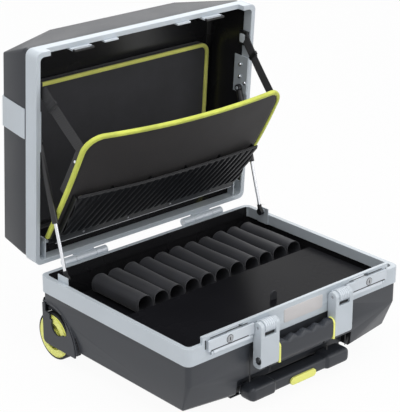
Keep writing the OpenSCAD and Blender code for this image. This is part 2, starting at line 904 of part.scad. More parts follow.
// Soft trim round a board's top and sides, and the board between it
module edge_piping(half, top, low, r) {
  difference() {
    board_outline(half + piping_width / 2, top - piping_width / 2, low,
      r + piping_width / 2);
    board_outline(half - piping_width / 2, top + piping_width / 2, low + 1,
      r - piping_width / 2);
  }
}

module document_board() {
  color([0.07, 0.07, 0.08]) in_lid()
    translate([0, 0, document_z])
      linear_extrude(lid_depth - shell_wall - document_z)
        board_outline(board_half, document_top, document_low, 20);
}

module document_piping() {
  color([0.82, 0.87, 0.25]) in_lid()
    translate([0, 0, document_z - 3]) linear_extrude(3)
      edge_piping(board_half - piping_width / 2,
        document_top + piping_width / 2, document_low, 16);
}

module pallet_board() {
  color([0.07, 0.07, 0.08]) in_pallet()
    translate([0, 0, -2]) linear_extrude(4)
      board_outline(pallet_half - piping_width / 2 - 0.2,
        -pallet_height + piping_width / 2 + 0.2, -5.5,
        pallet_corner - piping_width / 2 - 0.2);
}

module pallet_piping() {
  color([0.82, 0.87, 0.25]) in_pallet()
    translate([0, 0, -4]) linear_extrude(8)
      edge_piping(pallet_half, -pallet_height, -12, pallet_corner);
}

module pallet_loops() {
  color([0.1, 0.1, 0.11]) in_pallet() {
    box([-pocket_half, -130, -16], [pocket_half, -12, -14]);
    box([-pocket_half, -14, -15], [pocket_half, -12, -2]);
    for (i = [0:5])
      translate([i * (2 * pocket_half - 2) / 5 - pocket_half, 0, 0])
        box([0, -130, -15], [2, -12, -2]);
    intersection() {
      box([-pocket_half, -130, -18], [pocket_half, -12, -15]);
      for (i = [0:rib_count - 1])
        translate([(2 * i / (rib_count - 1) - 1) * (pocket_half - 5), -71,
            -17])
          rotate([0, 0, 20]) cube([3, 150, 3], center = true);
    }
  }
}

module pallet_rail() {
  color([0.2, 0.21, 0.22]) in_pallet() difference() {
    rod_x(6, 2 - pallet_half, pallet_half - 2, 0, 0);
    rod_x(3 + pin_clearance, 1 - pallet_half, pallet_half - 1, 0, 0);
    box([-half_w, -20, -2], [half_w, -5.5, 2]);
  }
}

module pallet_brackets() {
  color([0.72, 0.75, 0.78]) in_lid() both_sides() {
    difference() {
      box([half_w - 25, pallet_y - 9, 4.5], [half_w - 22.5, flange_y, 20]);
      rod_x(3, pallet_half, half_w - 10, pallet_y, pallet_z);
    }
    rod_x(3, pocket_half, half_w - 21, pallet_y, pallet_z);
  }
}

// Webbing that limits how far the pallet leans out
module strap(side) {
  color([0.1, 0.1, 0.11]) in_lid() on_side(side) hull() {
    box([half_w - 16.9, 61 - half_d, 4], [half_w - 15.7, 74 - half_d, 6]);
    translate([0, pallet_y, pallet_z]) rotate([pallet_lean, 0, 0])
      box([pallet_half + piping_width / 2 + 0.2, 27 - pallet_height, -2],
        [pallet_half + piping_width / 2 + 1.4, 41 - pallet_height, 0]);
  }
}

module strap_anchors() {
  color([0.08, 0.08, 0.09]) in_lid() both_sides()
    box([half_w - 15.7, 54 - half_d, 3], [flange_x, 81 - half_d, 24]);
}

base_shell();
base_frame();
board_rails();
trolley_housing();
front_feet();
trolley_channels();
trolley_middle_tubes();
trolley_inner_tubes();
trolley_grip();
trolley_button();
tyre(-1);  // tyre_left
tyre(1);  // tyre_right
rim(-1);  // rim_left
rim(1);  // rim_right
wheel_axles();
wheel_cover(-1);  // wheel_cover_left
wheel_cover(1);  // wheel_cover_right
latch(-1);  // latch_left
latch(1);  // latch_right
lock(-1);  // lock_left
lock(1);  // lock_right
latch_pins();
handle_arm(-1);  // handle_arm_left
handle_arm(1);  // handle_arm_right
handle_grip();
handle_rings();
handle_screws();
handle_barrels();
handle_pins();
hinge_base_leaves();
hinge_lid_leaves();
hinge_pins();
hinge_screws();
strut_tube(-1);  // strut_tube_left
strut_tube(1);  // strut_tube_right
strut_rod(-1);  // strut_rod_left
strut_rod(1);  // strut_rod_right
strut_socket(-1);  // strut_socket_left
strut_socket(1);  // strut_socket_right
base_studs();
lid_brackets();
tool_board();
tool_sleeves();
board_tab();
lid_shell();
lid_frame();
lid_band();
lid_catches();
stand_feet();
document_board();
document_piping();
pallet_board();
pallet_piping();
pallet_loops();
pallet_rail();
pallet_brackets();
strap(-1);  // strap_left
strap(1);  // strap_right
strap_anchors();
bracket_screws();
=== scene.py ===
import json
import math

import bmesh
import bpy
import numpy as np
from mathutils import Matrix


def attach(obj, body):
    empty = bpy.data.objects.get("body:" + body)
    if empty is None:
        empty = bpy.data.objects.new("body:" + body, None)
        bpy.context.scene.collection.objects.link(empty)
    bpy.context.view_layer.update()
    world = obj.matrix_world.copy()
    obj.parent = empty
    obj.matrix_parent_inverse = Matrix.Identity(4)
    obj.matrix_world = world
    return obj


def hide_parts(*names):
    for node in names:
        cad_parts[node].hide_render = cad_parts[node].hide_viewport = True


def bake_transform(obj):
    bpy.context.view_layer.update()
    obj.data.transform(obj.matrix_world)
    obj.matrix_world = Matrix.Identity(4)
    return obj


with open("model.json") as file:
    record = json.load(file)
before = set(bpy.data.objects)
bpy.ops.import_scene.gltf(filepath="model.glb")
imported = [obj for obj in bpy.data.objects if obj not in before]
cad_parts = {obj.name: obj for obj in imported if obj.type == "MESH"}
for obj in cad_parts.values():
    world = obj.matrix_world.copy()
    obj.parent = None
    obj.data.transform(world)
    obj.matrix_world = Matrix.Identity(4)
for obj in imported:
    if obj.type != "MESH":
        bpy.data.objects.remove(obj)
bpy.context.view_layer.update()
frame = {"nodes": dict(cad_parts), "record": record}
print("frame loaded:", len(frame["nodes"]), "nodes")

# Case layout in millimetres: x along the hinge, y from the base's middle, z from the rim plane.
case = {"openMiddle": 50.0, "rimHeight": 156.0, "hingeY": 206.0, "lidAngle": 86.0,
        "palletY": 159.0, "palletZ": 11.0, "palletLean": 26.0}


def toWorld(p):  # case millimetres to world metres
    p = np.asarray(p, float)
    return (p + [0, -case["openMiddle"], case["rimHeight"]]) / 1000


def turnX(p, degrees):  # turn points about the x axis
    a = math.radians(degrees)
    y, z = p[..., 1], p[..., 2]
    return np.stack([p[..., 0], y * math.cos(a) - z * math.sin(a),
                     y * math.sin(a) + z * math.cos(a)], -1)


def inLid(p):  # closed-lid millimetres to case millimetres with the lid open
    p = np.asarray(p, float)
    return turnX(p - [0, case["hingeY"], 0], -case["lidAngle"]) + [0, case["hingeY"], 0]


def inPallet(p):  # pallet millimetres (y = 0 at its pivot, board towards -y, front towards -z)
    p = turnX(np.asarray(p, float), case["palletLean"])
    return inLid(p + [0, case["palletY"], case["palletZ"]])


# Camera, lamps and floor
view = {"target": (-48.2, 0.0, 132.9), "azimuth": 41.7, "elevation": 21.9,
        "distance": 2604.7, "lens": 138.2, "sensor": 36.0, "clipEnd": 50.0}


# Link an object at a spot in metres, turned so that it looks against the direction back.
def placeLooking(obj, side, back, spot):
    m = np.eye(4)
    m[:3, 0], m[:3, 1], m[:3, 2], m[:3, 3] = side, np.cross(back, side), back, spot
    obj.matrix_world = Matrix(m.tolist())
    bpy.context.scene.collection.objects.link(obj)


def addCamera():
    az, el = math.radians(view["azimuth"]), math.radians(view["elevation"])
    back = np.array([-math.sin(az) * math.cos(el), -math.cos(az) * math.cos(el), math.sin(el)])
    spot = np.array(view["target"]) + back * view["distance"]
    right = np.array([math.cos(az), -math.sin(az), 0.0])
    data = bpy.data.cameras.new("camera")
    data.lens, data.sensor_width, data.sensor_fit = view["lens"], view["sensor"], "HORIZONTAL"
    data.clip_end = view["clipEnd"]
    cam = bpy.data.objects.new("camera", data)
    placeLooking(cam, right, back, toWorld(spot))
    bpy.context.scene.camera = cam


def addLamp(name, spot, aim, size, watts):
    data = bpy.data.lights.new(name, "AREA")
    data.shape, data.size, data.size_y = "RECTANGLE", size[0], size[1]
    data.energy = watts
    lamp = bpy.data.objects.new(name, data)
    back = np.array(spot, float) - np.array(aim, float)
    back /= np.linalg.norm(back)
    side = np.cross([0, 0, 1] if abs(back[2]) < 0.98 else [0, 1, 0], back)
    side /= np.linalg.norm(side)
    placeLooking(lamp, side, back, spot)
    lamp.visible_camera = False


def node(tree, kind, **values):  # add a node and set its plain inputs
    n = tree.nodes.new(kind)
    for key, value in values.items():
        if key in n.inputs:
            n.inputs[key].default_value = value
        else:
            setattr(n, key, value)
    return n


def linear(rgb):  # 0-255 screen colour to linear
    c = np.array(rgb, float) / 255
    c = np.where(c <= 0.04045, c / 12.92, ((c + 0.055) / 1.055) ** 2.4)
    return (*[float(v) for v in c], 1.0)


def seenRays(tree):  # 1 for camera, glossy and transmission rays
    rays = tree.nodes.new("ShaderNodeLightPath")
    a = node(tree, "ShaderNodeMath", operation="MAXIMUM")
    b = node(tree, "ShaderNodeMath", operation="MAXIMUM")
    tree.links.new(rays.outputs["Is Camera Ray"], a.inputs[0])
    tree.links.new(rays.outputs["Is Glossy Ray"], a.inputs[1])
    tree.links.new(a.outputs[0], b.inputs[0])
    tree.links.new(rays.outputs["Is Transmission Ray"], b.inputs[1])
    return b.outputs[0]


studio = {"worldStrength": 0.5, "floorSeen": 0.95, "floorColour": (0.86, 0.86, 0.87, 1),
          "floorHalf": 30.0}
lamps = {  # metres
    "topSoftbox": dict(spot=(-0.3, -0.3, 2.2), aim=(0, 0.05, 0.3), size=(2.4, 2.0), watts=30),
    "leftSoftbox": dict(spot=(-2.3, -1.1, 1.3), aim=(0, 0, 0.25), size=(1.6, 1.6), watts=4.6),
    "rightSoftbox": dict(spot=(1.4, -2.4, 1.1), aim=(0, -0.1, 0.2), size=(1.6, 1.4), watts=13),
    "backSoftbox": dict(spot=(1.9, 2.4, 1.75), aim=(0, 0.3, 0.5), size=(2.6, 1.0), watts=14),
}


def addStudio():
    world = bpy.data.worlds.new("studio")
    bpy.context.scene.world = world
    world.use_nodes = True
    tree = world.node_tree
    tree.nodes.clear()
    lit = node(tree, "ShaderNodeBackground", Color=(1, 1, 1, 1), Strength=studio["worldStrength"])
    seen = node(tree, "ShaderNodeBackground", Color=(1, 1, 1, 1), Strength=1.0)
    mix = tree.nodes.new("ShaderNodeMixShader")
    out = tree.nodes.new("ShaderNodeOutputWorld")
    tree.links.new(seenRays(tree), mix.inputs[0])
    tree.links.new(lit.outputs[0], mix.inputs[1])
    tree.links.new(seen.outputs[0], mix.inputs[2])
    tree.links.new(mix.outputs[0], out.inputs[0])

    mesh = bpy.data.meshes.new("floor")
    h = studio["floorHalf"]
    mesh.from_pydata([(-h, -h, 0), (h, -h, 0), (h, h, 0), (-h, h, 0)], [], [(0, 1, 2, 3)])
    floor = bpy.data.objects.new("floor", mesh)
    bpy.context.scene.collection.objects.link(floor)
    mat = bpy.data.materials.new("paleFloor")
    mat.use_nodes = True
    tree = mat.node_tree
    tree.nodes.clear()
    matt = node(tree, "ShaderNodeBsdfDiffuse", Color=studio["floorColour"])
    glow = node(tree, "ShaderNodeEmission", Color=(1, 1, 1, 1), Strength=1.0)
    share = node(tree, "ShaderNodeMath", operation="MULTIPLY")
    share.inputs[1].default_value = studio["floorSeen"]
    mix = tree.nodes.new("ShaderNodeMixShader")
    out = tree.nodes.new("ShaderNodeOutputMaterial")
    tree.links.new(seenRays(tree), share.inputs[0])
    tree.links.new(share.outputs[0], mix.inputs[0])
    tree.links.new(matt.outputs[0], mix.inputs[1])
    tree.links.new(glow.outputs[0], mix.inputs[2])
    tree.links.new(mix.outputs[0], out.inputs[0])
    mesh.materials.append(mat)

    for name, lamp in lamps.items():
        addLamp(name, **lamp)


bpy.context.scene.view_settings.view_transform = "Standard"
addCamera()
addStudio()
print("camera and studio placed")

# Materials
finishes = {
    "shellPlastic": dict(colour=(54, 57, 63), rough=0.40, spec=0.44, grain=1500, depth=0.10,
                         vary=0.04),
    # The lid's plastic is the base shell's plastic made darker and less glossy: painted shade on
    # the lid.
    "paintedShadeLidPlastic": dict(colour=(42, 45, 51), rough=0.40, spec=0.30, grain=1500, depth=0.10,
                       vary=0.04),
    "silverPaint": dict(colour=(196, 204, 211), rough=0.36, metal=0.12, grain=900, depth=0.03,
                        vary=0.02),
    "brightSilver": dict(colour=(208, 215, 222), rough=0.34, metal=0.12, grain=900, depth=0.03,
                         vary=0.02),
    # Darker inner plastic for the room's inner faces, the back band's low flange and the catches'
    # fronts: painted shade.
    "paintedShadeInner": dict(colour=(31, 31, 33), rough=0.26, spec=0.44, grain=420, depth=0.04,
                         vary=0.05),
    "darkPlastic": dict(colour=(50, 53, 59), rough=0.38, spec=0.4, grain=1500, depth=0.10,
                        vary=0.05),
    # Black plastic of the rails, loops and sockets; the same finish paints shade on the thin black
    # pads and lines.
    "blackPlasticAndShade": dict(colour=(25, 26, 29), rough=0.42, spec=0.35, grain=1500, depth=0.08,
                         vary=0.05),
    "boardPlastic": dict(colour=(23, 23, 26), rough=0.26, spec=0.02, grain=300, depth=0.04,
                         vary=0.05),
    "rubberBlack": dict(colour=(30, 30, 32), rough=0.75, grain=700, depth=0.15, vary=0.06),
    "limePlastic": dict(colour=(252, 255, 136), rough=0.38, grain=1200, depth=0.04, vary=0.03),
    "rimPlastic": dict(colour=(252, 255, 140), rough=0.4, grain=1200, depth=0.04, vary=0.02),
    "platePaint": dict(colour=(206, 203, 203), rough=0.55, grain=900, depth=0.02, vary=0.02),
    "strutBlack": dict(colour=(28, 28, 31), rough=0.30, grain=1200, depth=0.02, vary=0.03),
}
cloths = {  # pitch of the threads in millimetres
    "papersCloth": dict(colour=(58, 58, 62), pitch=1.2, rough=0.8, sheen=0.2),
    "boardCloth": dict(colour=(36, 33, 34), pitch=1.2, rough=0.75, sheen=0.15),
    "sleeveCloth": dict(colour=(37, 38, 43), pitch=1.0, rough=0.7, sheen=0.2, depth=0.25),
    "webbing": dict(colour=(38, 38, 41), pitch=1.6, rough=0.8, sheen=0.3, depth=0.7),
    "pipingCloth": dict(colour=(208, 216, 92), pitch=0.9, rough=0.7, sheen=0.2, depth=0.3),
    "papersPiping": dict(colour=(248, 252, 128), pitch=0.9, rough=0.7, sheen=0.3, depth=0.3),
}
metals = {  # a small stretch draws the fine lines out along that axis
    "drawnAluminium": dict(colour=(190, 192, 196), rough=0.35, stretch=(1, 0.03, 1)),
    "pinSteel": dict(colour=(180, 182, 186), rough=0.3, stretch=(0.05, 1, 1)),
    "rodChrome": dict(colour=(222, 224, 228), rough=0.12, stretch=(1, 1, 0.05), brushed=0.01),
}
noiseRange = (0.3, 0.7)  # the part of a noise's values that is used
waveTurn = 6.283  # radians of one wave of the thread pattern


def bumpFrom(tree, height, depth, distance):
    b = node(tree, "ShaderNodeBump", Strength=depth, Distance=distance)
    tree.links.new(height, b.inputs["Height"])
    return b.outputs["Normal"]


def startMaterial(name):
    mat = bpy.data.materials.new(name)
    mat.use_nodes = True
    tree = mat.node_tree
    return mat, tree, tree.nodes["Principled BSDF"], tree.nodes.new("ShaderNodeTexCoord")


def tinted(tree, shader, source, colour, vary):  # colour that drifts a little with a noise
    ramp = tree.nodes.new("ShaderNodeValToRGB")
    c = np.array(linear(colour))
    low, high = ramp.color_ramp.elements
    low.color = (*(c[:3] * (1 - vary * 2)), 1)
    high.color = (*np.minimum(c[:3] * (1 + vary * 2), 1), 1)
    low.position, high.position = noiseRange
    tree.links.new(source, ramp.inputs[0])
    tree.links.new(ramp.outputs[0], shader.inputs["Base Color"])


def spread(tree, source, low, high):  # map a noise to a range
    r = node(tree, "ShaderNodeMapRange")
    r.inputs["From Min"].default_value, r.inputs["From Max"].default_value = noiseRange
    r.inputs["To Min"].default_value, r.inputs["To Max"].default_value = low, high
    tree.links.new(source, r.inputs["Value"])
    return r.outputs[0]


# Moulded or painted surface: cloudy tint, fine grain bump, uneven gloss.
def mouldedMaterial(name, colour, rough, grain, depth, vary, metal=0.0, spec=0.5):
    mat, tree, shader, coords = startMaterial(name)
    cloud = node(tree, "ShaderNodeTexNoise", Scale=9.0, Detail=3.0)
    fine = node(tree, "ShaderNodeTexNoise", Scale=float(grain), Detail=2.0)
    for n in (cloud, fine):
        tree.links.new(coords.outputs["Object"], n.inputs["Vector"])
    tinted(tree, shader, cloud.outputs["Fac"], colour, vary)
    tree.links.new(spread(tree, cloud.outputs["Fac"], rough * 0.9, rough * 1.12),
                   shader.inputs["Roughness"])
    tree.links.new(bumpFrom(tree, fine.outputs["Fac"], depth, 0.0006), shader.inputs["Normal"])
    shader.inputs["Metallic"].default_value = metal
    shader.inputs["Specular IOR Level"].default_value = spec
    return mat


# Woven cloth: two crossing sets of threads, multiplied.
def clothMaterial(name, colour, pitch, rough, sheen, depth=0.5):
    mat, tree, shader, coords = startMaterial(name)
    waves = []
    for axis in ("X", "Z"):
        w = node(tree, "ShaderNodeTexWave", Scale=1000 / pitch / waveTurn, Distortion=0.6,
                 Detail=1.0, bands_direction=axis)
        tree.links.new(coords.outputs["Object"], w.inputs["Vector"])
        waves.append(w)
    both = node(tree, "ShaderNodeMath", operation="MULTIPLY")
    tree.links.new(waves[0].outputs["Fac"], both.inputs[0])
    tree.links.new(waves[1].outputs["Fac"], both.inputs[1])
    cloud = node(tree, "ShaderNodeTexNoise", Scale=30.0, Detail=4.0)
    tree.links.new(coords.outputs["Object"], cloud.inputs["Vector"])
    tinted(tree, shader, cloud.outputs["Fac"], colour, 0.08)
    tree.links.new(spread(tree, cloud.outputs["Fac"], rough * 0.93, min(rough * 1.05, 1)),
                   shader.inputs["Roughness"])
    tree.links.new(bumpFrom(tree, both.outputs[0], depth, 0.0004), shader.inputs["Normal"])
    shader.inputs["Sheen Weight"].default_value = sheen
    shader.inputs["Sheen Roughness"].default_value = 0.4
    return mat


# Turned or drawn metal with fine lines along its length.
def metalMaterial(name, colour, rough, stretch, brushed=0.05):
    mat, tree, shader, coords = startMaterial(name)
    mapping = node(tree, "ShaderNodeMapping")
    mapping.inputs["Scale"].default_value = stretch
    tree.links.new(coords.outputs["Object"], mapping.inputs["Vector"])
    lines = node(tree, "ShaderNodeTexNoise", Scale=700.0, Detail=3.0)
    tree.links.new(mapping.outputs["Vector"], lines.inputs["Vector"])
    cloud = node(tree, "ShaderNodeTexNoise", Scale=25.0, Detail=2.0)
    tree.links.new(coords.outputs["Object"], cloud.inputs["Vector"])
    tinted(tree, shader, cloud.outputs["Fac"], colour, 0.03)
    tree.links.new(spread(tree, lines.outputs["Fac"], rough * 0.75, rough * 1.3),
                   shader.inputs["Roughness"])
    tree.links.new(bumpFrom(tree, lines.outputs["Fac"], brushed, 0.0003), shader.inputs["Normal"])
    shader.inputs["Metallic"].default_value = 1.0
    return mat


mats = {name: mouldedMaterial(name, **f) for name, f in finishes.items()}
mats.update({name: clothMaterial(name, **f) for name, f in cloths.items()})
mats.update({name: metalMaterial(name, **f) for name, f in metals.items()})
print("materials made:", len(mats))

nodeFinish = {
    "shellPlastic": "base_shell", "paintedShadeLidPlastic": "lid_shell",
    "rimPlastic": "rim_left rim_right",
    "silverPaint": "base_frame lid_frame lid_band handle_arm_left handle_arm_right base_studs "
                   "lid_brackets pallet_brackets bracket_screws",
    "brightSilver": "latch_left latch_right lid_catches hinge_base_leaves hinge_lid_leaves "
                    "handle_barrels",
    "darkPlastic": "trolley_housing wheel_cover_left wheel_cover_right trolley_grip handle_grip",
    "blackPlasticAndShade": "board_rails pallet_rail pallet_loops strap_anchors strut_socket_left "
                    "strut_socket_right",
    "boardPlastic": "tool_board",
    "rubberBlack": "front_feet stand_feet tyre_left tyre_right",
    "limePlastic": "handle_rings trolley_button",
    "strutBlack": "strut_tube_left strut_tube_right",
    "boardCloth": "pallet_board",
    "papersCloth": "document_board",
    "pipingCloth": "document_piping pallet_piping",
    "sleeveCloth": "tool_sleeves board_tab",
    "webbing": "strap_left strap_right",
    "drawnAluminium": "trolley_channels trolley_middle_tubes trolley_inner_tubes",
    "pinSteel": "wheel_axles latch_pins handle_pins hinge_pins hinge_screws "
                "handle_screws lock_left lock_right",
    "rodChrome": "strut_rod_left strut_rod_right",
}
finishOf = {n: f for f, names in nodeFinish.items() for n in names.split()}
bodyOf = {n: b for b, names in frame["record"]["behaviour"]["bodies"].items() for n in names}
for name, obj in frame["nodes"].items():
    obj.data.materials.clear()
    obj.data.materials.append(mats[finishOf[name]])

# Rounded copies of CAD nodes
roundings = {  # bevel width in millimetres, edge angle in degrees
    "base_shell": (1.2, 12), "lid_shell": (1.2, 12), "base_frame": (0.7, 30),
    "lid_frame": (0.7, 30), "lid_band": (0.5, 30), "lid_catches": (0.4, 30),
    "handle_arm_left": (1.6, 40), "handle_arm_right": (1.6, 40), "handle_barrels": (0.3, 30),
    "latch_left": (0.5, 40), "latch_right": (0.5, 40), "hinge_base_leaves": (0.4, 30),
    "hinge_lid_leaves": (0.4, 30), "tool_board": (0.8, 30), "trolley_housing": (1.0, 30),
    "wheel_cover_left": (0.8, 30), "wheel_cover_right": (0.8, 30), "lid_brackets": (0.4, 30),
    "base_studs": (0.4, 30), "pallet_brackets": (0.3, 30), "strap_anchors": (0.6, 30),
    "board_rails": (0.5, 30), "strut_tube_left": (0.5, 40), "strut_tube_right": (0.5, 40),
    "strut_socket_left": (0.5, 40), "strut_socket_right": (0.5, 40), "rim_left": (0.6, 30),
    "rim_right": (0.6, 30), "front_feet": (1.5, 30), "stand_feet": (1.5, 30),
    "trolley_button": (1.2, 30), "pallet_rail": (0.5, 30), "lock_left": (0.3, 30),
    "lock_right": (0.3, 30), "trolley_channels": (0.2, 30),
    "trolley_middle_tubes": (0.2, 30), "trolley_inner_tubes": (0.2, 30),
    "handle_rings": (0.6, 30), "board_tab": (0.4, 30),
}


# Link a mesh as a piece: material, smooth faces with sharp edges kept, and body.
def newPiece(name, mesh, material, body, smooth=40):
    obj = bpy.data.objects.new(name, mesh)
    bpy.context.scene.collection.objects.link(obj)
    mesh.materials.clear()
    mesh.materials.append(mats[material])
    mesh.polygons.foreach_set("use_smooth", np.ones(len(mesh.polygons), bool))
    mesh.set_sharp_from_angle(angle=math.radians(smooth))
    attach(obj, body)
    return obj


def addBevel(obj, width, angle, segments=2):
    b = obj.modifiers.new("bevel", "BEVEL")
    b.width, b.segments = width / 1000, segments
    b.limit_method, b.angle_limit = "ANGLE", math.radians(angle)
    b.use_clamp_overlap, b.harden_normals = False, True
    b.miter_outer = "MITER_ARC"


# Cut a prism with this outline in y and z out of a mesh; the prism spans x = low to high.
def cutThrough(mesh, outline, low, high):
    n = len(outline)
    ring = np.array(outline, float)
    points = np.concatenate([np.insert(ring, 0, x, axis=1) for x in (low, high)])
    faces = [list(range(n)), list(range(2 * n - 1, n - 1, -1))]
    faces += [[i, i + n, (i + 1) % n + n, (i + 1) % n] for i in range(n)]
    cutterMesh = bpy.data.meshes.new("cutter")
    cutterMesh.from_pydata(toWorld(points).tolist(), [], faces)
    bm = bmesh.new()
    bm.from_mesh(cutterMesh)
    bmesh.ops.recalc_face_normals(bm, faces=bm.faces)
    bm.to_mesh(cutterMesh)
    bm.free()
    cutter = bpy.data.objects.new("cutter", cutterMesh)
    whole = bpy.data.objects.new("whole", mesh)
    for o in (cutter, whole):
        bpy.context.scene.collection.objects.link(o)
    cut = whole.modifiers.new("cut", "BOOLEAN")
    cut.operation, cut.solver, cut.object = "DIFFERENCE", "EXACT", cutter
    ready = whole.evaluated_get(bpy.context.evaluated_depsgraph_get())
    made = bpy.data.meshes.new_from_object(ready)
    made.name = mesh.name
    for o in (cutter, whole):
        bpy.data.objects.remove(o)
    return made


# A copy of a CAD node, its triangles merged to faces; chosen edges get a larger radius first.
def roundedCopy(name, width, angle, wide=None, cut=None, split=None):
    bm = bmesh.new()
    bm.from_mesh(frame["nodes"][name].data)
    bmesh.ops.remove_doubles(bm, verts=bm.verts, dist=2e-6)
    bmesh.ops.dissolve_limit(bm, angle_limit=math.radians(0.4), verts=bm.verts, edges=bm.edges)
    if split:
        bmesh.ops.bisect_plane(bm, geom=[*bm.verts, *bm.edges, *bm.faces], dist=1e-6,
                               plane_co=split[0], plane_no=split[1])
    for test, radius in wide or []:
        edges = [e for e in bm.edges if len(e.link_faces) == 2 and test(e)]
        bmesh.ops.bevel(bm, geom=edges, offset=radius / 1000, segments=6, profile=0.5,
                        affect="EDGES", clamp_overlap=True)
    mesh = bpy.data.meshes.new(name + "_round")
    bm.to_mesh(mesh)
    bm.free()
    if cut:
        mesh = cutThrough(mesh, *cut)
    obj = newPiece(name + "_round", mesh, finishOf[name], bodyOf[name])
    addBevel(obj, width, angle)
    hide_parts(name)
    return obj


# Give the faces whose centre and normal (case millimetres) pass a test another material.
def paintFaces(obj, material, test):
    obj.data.materials.append(mats[material])
    count = len(obj.data.polygons)
    centres, normals = np.zeros(count * 3), np.zeros(count * 3)
    obj.data.polygons.foreach_get("center", centres)
    obj.data.polygons.foreach_get("normal", normals)
    p = centres.reshape(-1, 3) * 1000 - [0, -case["openMiddle"], case["rimHeight"]]
    chosen = test(p, normals.reshape(-1, 3))
    obj.data.polygons.foreach_set("material_index", chosen.astype(np.int32))
    obj.data.update()


# Undo the lid's turn, from case millimetres to closed-lid millimetres.
def backToLid(p):
    return turnX(p - [0, case["hingeY"], 0], case["lidAngle"]) + [0, case["hingeY"], 0]


armFoot = {"below": -74.5, "shortest": 5.0, "straight": 0.2, "radius": 7.0}


def lowEdge(e):  # edge along x at the foot of a carry handle arm
    a, b = (v.co * 1000 for v in e.verts)
    return (abs(a.y - b.y) + abs(a.z - b.z) < armFoot["straight"]
            and a.z - case["rimHeight"] < armFoot["below"]
            and abs(a.x - b.x) > armFoot["shortest"])


wideEdges = {"handle_arm_" + side: [(lowEdge, armFoot["radius"])] for side in ("left", "right")}
# Opening in the wheel covers, seen from the side as y and z, and the x it is cut between
coverOpening = [(184, -51), (184, -66), (172, -68), (168, -76), (162, -82), (152, -91),
                (141, -98), (132, -98), (124, -93), (122.5, -82), (127, -71), (138, -60.5),
                (150, -54.5), (165, -51)]
coverInside, coverBeyond = 243.2, 250.0
cuts = {"wheel_cover_left": (coverOpening, -coverBeyond, -coverInside),
        "wheel_cover_right": (coverOpening, coverInside, coverBeyond)}
# Painted shade: in front of catchDepth the catches get the dark inner plastic, so they sink into
# the dark room.
catchDepth = 5.0  # the catches are dark in front of this depth and silver behind it
splits = {"lid_catches": (toWorld(inLid([0, 0, catchDepth])).tolist(),
                          (inLid([0, 0, 1]) - inLid([0, 0, 0])).tolist())}
dressed = {}
for name, (width, angle) in roundings.items():
    dressed[name] = roundedCopy(name, width, angle, wideEdges.get(name), cuts.get(name),
                                splits.get(name))


# Limits of the case's room, and of the flange under the lip of the base's back band
room = {"halfX": 243.0, "halfY": 190.5, "baseFloor": -121.5, "lidRoof": 109.5, "acrossY": -60.0,
        "sideShare": 0.3, "level": 0.5}
flange = {"below": -4.5, "halfX": 236.0, "lowY": 184.0, "highY": 187.5}


# Faces between the room's sides, and which of them look towards its middle.
def roomFaces(p, n):
    inner = (np.abs(p[:, 0]) < room["halfX"]) & (np.abs(p[:, 1]) < room["halfY"])
    sides = n[:, 0] * p[:, 0] < -room["sideShare"] * np.abs(p[:, 0])
    return inner, sides | (n[:, 1] * p[:, 1] < room["acrossY"])


def insideBase(p, n):  # inner faces of the base half
    inner, towards = roomFaces(p, n)
    return inner & (p[:, 2] > room["baseFloor"]) & (towards | (n[:, 2] > room["level"]))


def insideLid(p, n):  # inner faces of the lid
    q, m = backToLid(p), turnX(n, case["lidAngle"])
    inner, towards = roomFaces(q, m)
    return inner & (q[:, 2] < room["lidRoof"]) & (towards | (m[:, 2] < -room["level"]))


def lowFlange(p, n):  # inner flange of the base's back band, under its lip
    return ((p[:, 2] < flange["below"]) & (np.abs(p[:, 0]) < flange["halfX"])
            & (p[:, 1] > flange["lowY"]) & (p[:, 1] < flange["highY"]))


# Painted shade: the inner faces of the base and the lid get the darker inner plastic.
paintFaces(dressed["base_shell"], "paintedShadeInner", insideBase)
paintFaces(dressed["lid_shell"], "paintedShadeInner", insideLid)
# Painted shade: the silver flange under the lip of the base's back band turns dark below its set
# height.
paintFaces(dressed["base_frame"], "paintedShadeInner", lowFlange)
# Painted shade on the fronts of the catches.
paintFaces(dressed["lid_catches"], "paintedShadeInner",
           lambda p, n: backToLid(p)[:, 2] < catchDepth)
print("rounded pieces:", len(roundings))

# Quads between neighbours of a rows x columns grid of points.
def gridFaces(rows, columns, wrapRows=False, wrapColumns=False, first=0):
    index = np.arange(rows * columns).reshape(rows, columns) + first
    down, across = np.roll(index, -1, 0), np.roll(index, -1, 1)
    both = np.roll(down, -1, 1)
    quads = np.stack([index, down, both, across], -1)
    quads = quads[:rows if wrapRows else rows - 1, :columns if wrapColumns else columns - 1]
    return quads.reshape(-1, 4).tolist()


# One mesh from several grids; each is (points, wrapRows, wrapColumns, capped).
def meshOf(name, grids, recalculate=True):
    points, faces, first = [], [], 0
    for grid, wrapRows, wrapColumns, capped in grids:
        rows, columns = grid.shape[:2]
        faces += gridFaces(rows, columns, wrapRows, wrapColumns, first)
        if capped:
            faces.append(list(range(first, first + columns)))
            faces.append(list(range(first + (rows - 1) * columns, first + rows * columns))[::-1])
        points.append(grid.reshape(-1, 3))
        first += rows * columns
    mesh = bpy.data.meshes.new(name)
    mesh.from_pydata(np.concatenate(points).tolist(), [], faces)
    bm = bmesh.new()
    bm.from_mesh(mesh)
    bmesh.ops.remove_doubles(bm, verts=bm.verts, dist=1e-6)
    if recalculate:
        bmesh.ops.recalc_face_normals(bm, faces=bm.faces)
    bm.to_mesh(mesh)
    bm.free()
    return mesh


def openSheet(points):  # for meshOf: case millimetres, four free edges
    return toWorld(points), False, False, False


def closedBar(points):  # for meshOf: rings along a path, both ends capped
    return toWorld(points), False, True, True


